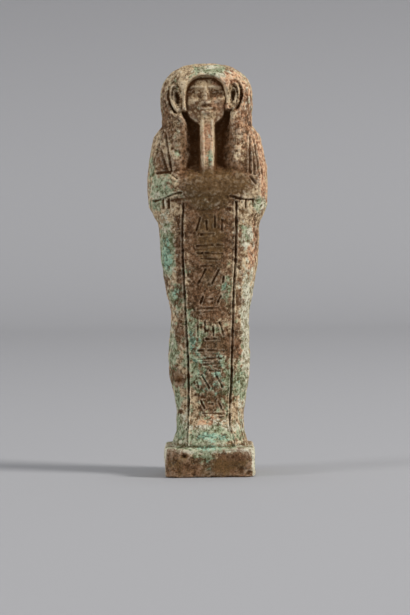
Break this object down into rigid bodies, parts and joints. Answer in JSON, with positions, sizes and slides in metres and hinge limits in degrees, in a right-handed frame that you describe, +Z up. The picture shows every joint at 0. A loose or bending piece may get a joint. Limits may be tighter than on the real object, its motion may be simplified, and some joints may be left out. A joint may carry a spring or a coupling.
{
  "type": "ushabti figurine",
  "caption": "Standing mummiform ushabti of moulded faience with wig, long beard, crossed arms and hoes, a framed panel of strokes, a back pillar and a low plinth.",
  "frame": {"origin": "centre of the plinth's underside, on the surface it stands on", "axes": "+Z up along the figure, -Y the way it faces, +X to the viewer's right from the front"},
  "size_m": [0.0351, 0.026, 0.12],
  "materials": {
    "faience": "weathered green-blue faience, worn to tan and brown, matte"
  },
  "bodies": {
    "root": {"ushabti": "faience"}
  },
  "joints": []
}
